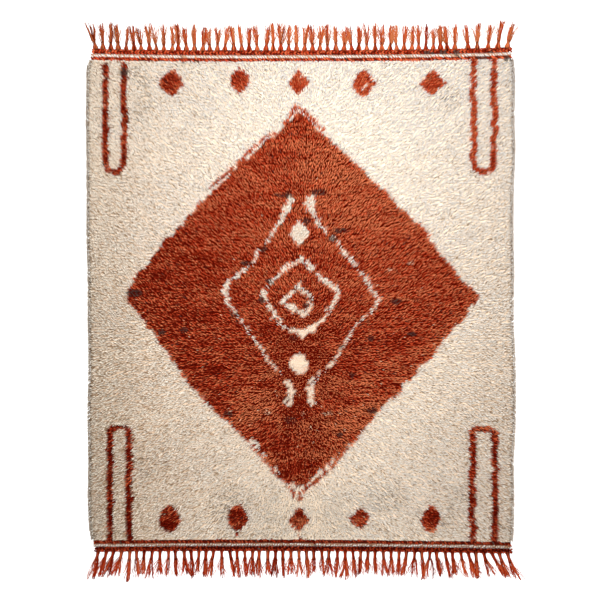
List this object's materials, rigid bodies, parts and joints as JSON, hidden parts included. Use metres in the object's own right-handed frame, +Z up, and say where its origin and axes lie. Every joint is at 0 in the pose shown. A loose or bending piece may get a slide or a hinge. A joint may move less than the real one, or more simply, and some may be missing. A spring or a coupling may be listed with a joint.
{
  "type": "moroccan shag rug",
  "caption": "Rectangular hand-knotted wool shag rug lying flat, with a large lozenge, small diamonds and hairpin motifs, flat end bands, heading cords and knotted tassel fringes.",
  "frame": {"origin": "centre of the rug's overall outline, tassels included, on the underside that rests on the floor", "axes": "+Z up from the floor, +Y along the rug's length, +X across its width"},
  "size_m": [1.5344, 1.9643, 0.022],
  "materials": {
    "wool_pile": "matte cut wool pile, cream with a terracotta pattern, on a flat woven ground",
    "terracotta_yarn": "matte spun wool yarn, terracotta"
  },
  "bodies": {
    "root": {"rug_body": "wool_pile", "heading_cord_upper": "terracotta_yarn", "heading_cord_lower": "terracotta_yarn", "tassel_fringe_upper": "terracotta_yarn", "tassel_fringe_lower": "terracotta_yarn"}
  },
  "joints": []
}
